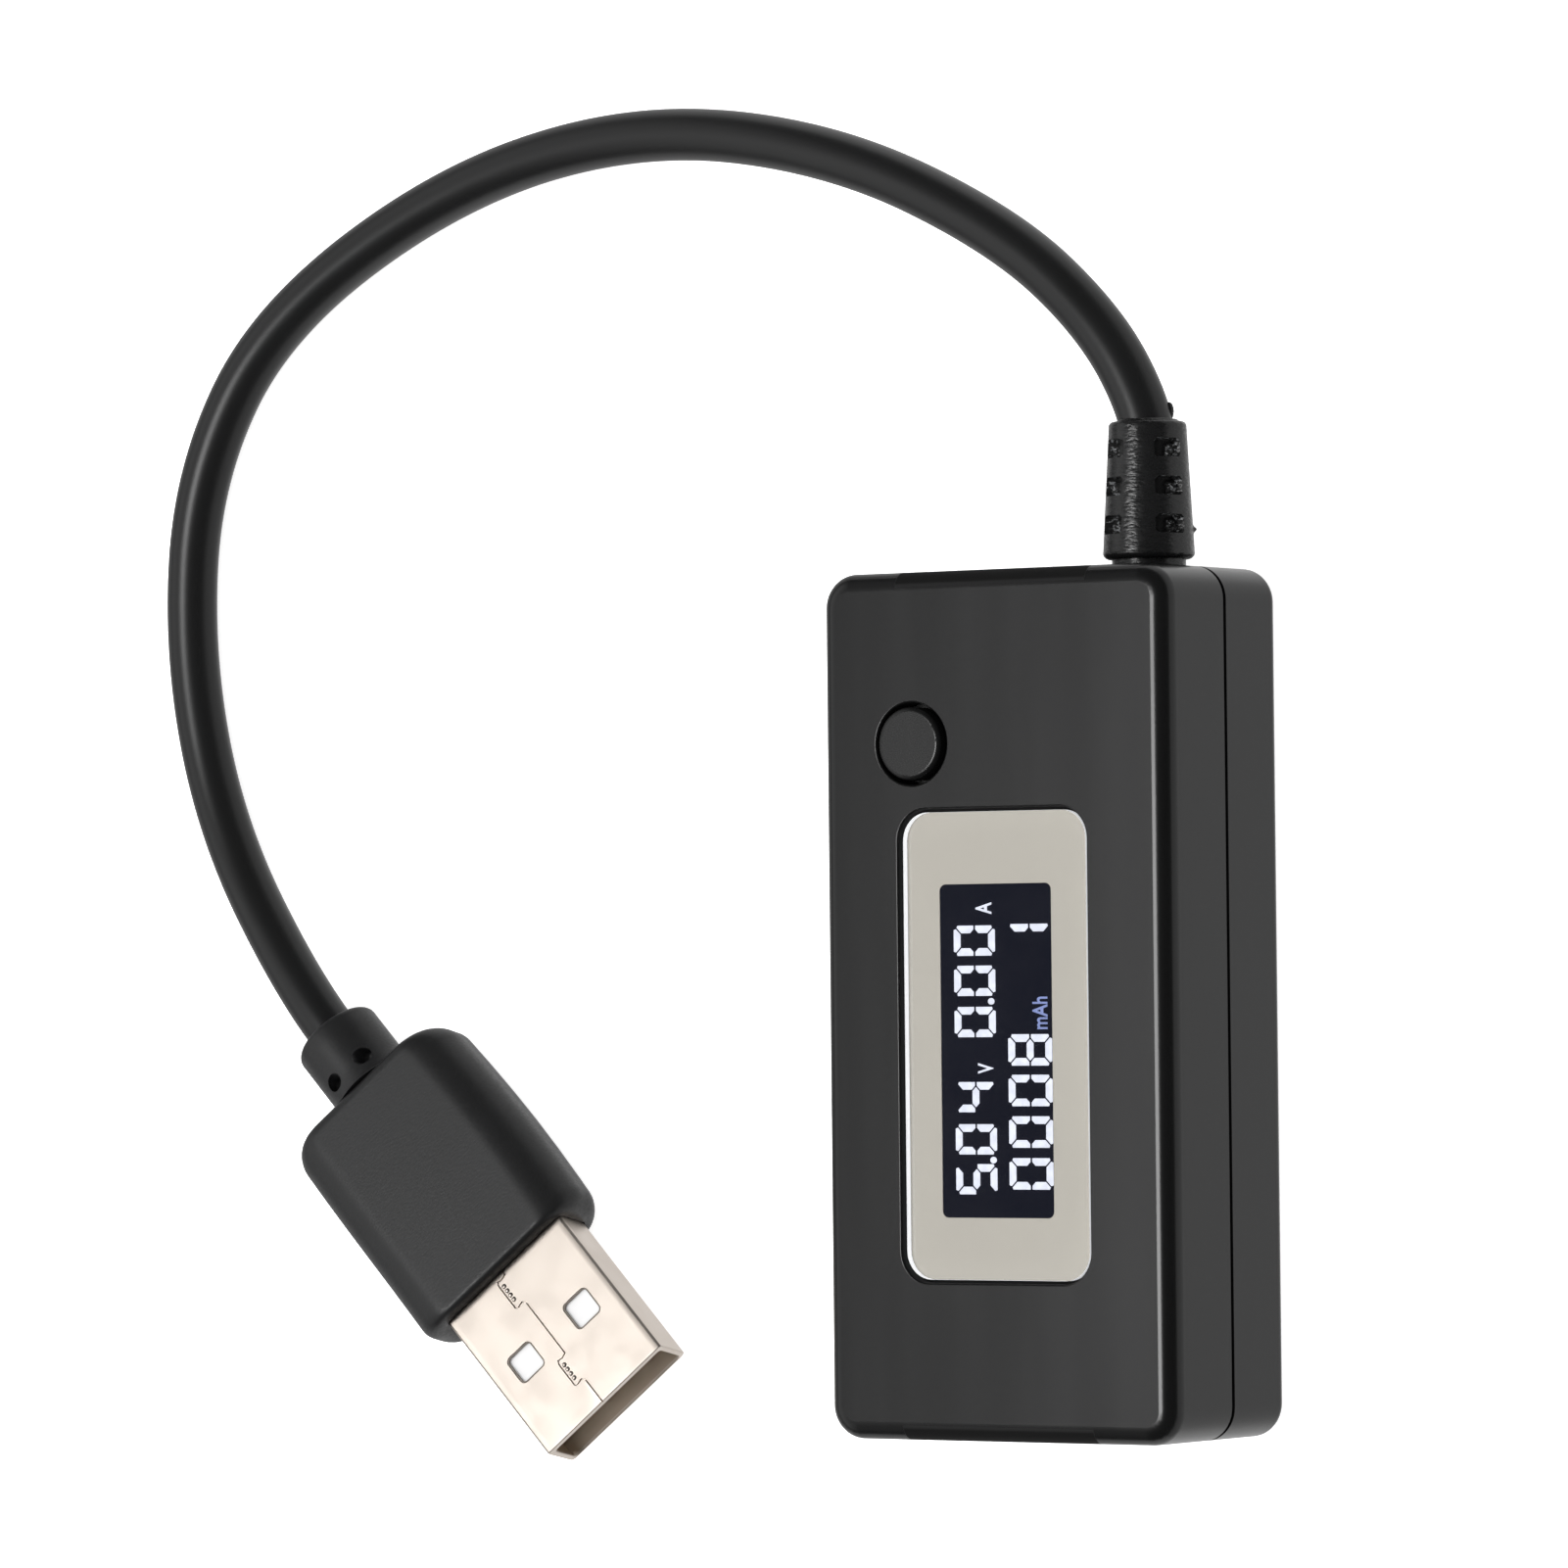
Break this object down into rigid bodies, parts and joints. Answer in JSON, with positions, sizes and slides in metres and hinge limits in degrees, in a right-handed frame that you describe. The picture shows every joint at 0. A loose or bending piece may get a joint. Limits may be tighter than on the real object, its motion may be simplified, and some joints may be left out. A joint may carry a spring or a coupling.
{
  "type": "usb power meter",
  "caption": "Hand-sized inline power meter with a recessed display, a round push button, a USB-A socket in one end and a short captive cord that ends in a USB-A plug.",
  "frame": {"origin": "middle of the case's flat back face, which is also the middle of the bottom of the case's box", "axes": "+X across the display to its right as the cord end points up, +Y along the case towards the cord, +Z out of the display"},
  "size_m": [0.1013, 0.1038, 0.0164],
  "materials": {
    "case_plastic": "fine satin texture",
    "button_plastic": "fine satin texture",
    "dark_plastic": "matt",
    "white_plastic": "matt",
    "clear_lens": "polished clear acrylic",
    "silver_print": "satin silver ink",
    "tape": "matt",
    "polarizer": "smooth film",
    "display_glass": "polished",
    "lit_segments": "lit",
    "light_guide": "milky",
    "tinned_metal": "tinned",
    "board": "solder mask",
    "chip_plastic": "matt moulded",
    "chip_ceramic": "fired ceramic",
    "shell_steel": "nickel plated",
    "plug_steel": "warm nickel plating",
    "contact_gold": "gold flash",
    "cord_jacket": "satin PVC",
    "boot_rubber": "fine matt texture",
    "overmould_rubber": "fine matt texture",
    "wire_red": "satin insulation",
    "wire_white": "satin insulation",
    "wire_green": "satin insulation",
    "wire_black": "satin insulation"
  },
  "bodies": {
    "case": {"back_shell": "case_plastic", "backlight_guide": "light_guide", "backlight_leds": "white_plastic", "chip_capacitors": "chip_ceramic", "chip_resistors": "chip_plastic", "circuit_board": "board", "cord": "cord_jacket", "cord_boot": "boot_rubber", "cord_tail": "cord_jacket", "display_lens": "clear_lens", "front_shell": "case_plastic", "lcd_carrier": "white_plastic", "lcd_front_glass": "display_glass", "lcd_front_polarizer": "polarizer", "lcd_pins": "tinned_metal", "lcd_rear_glass": "display_glass", "lcd_rear_polarizer": "polarizer", "lcd_seal": "tape", "lcd_segments": "lit_segments", "lens_mask": "silver_print", "lens_tape": "tape", "mcu_chip": "chip_plastic", "memory_chip": "chip_plastic", "plug_contacts": "contact_gold", "plug_insulator": "white_plastic", "plug_overmould": "overmould_rubber", "plug_shell": "plug_steel", "shunt_resistor": "chip_ceramic", "socket_contacts": "contact_gold", "socket_shell": "shell_steel", "socket_tongue": "white_plastic", "solder_joints": "tinned_metal", "switch_base": "dark_plastic", "switch_cover": "shell_steel", "switch_dome": "shell_steel", "switch_terminals": "tinned_metal", "voltage_regulator": "chip_plastic", "wire_black": "wire_black", "wire_green": "wire_green", "wire_red": "wire_red", "wire_white": "wire_white"},
    "button": {"button_cap": "button_plastic"},
    "plunger": {"switch_plunger": "dark_plastic"}
  },
  "joints": [
    {"name": "button_press", "type": "slide", "parent": "case", "child": "button", "axis": [0, 0, -1], "range_m": [0, 0.00025], "stiffness_N_per_m": 4000, "deforming": ["switch_dome"]},
    {"name": "plunger_press", "type": "slide", "parent": "case", "child": "plunger", "axis": [0, 0, -1], "range_m": [0, 0.00025]}
  ],
  "couplings": [
    {"joint": "plunger_press", "follows": "button_press", "ratio": 1}
  ]
}
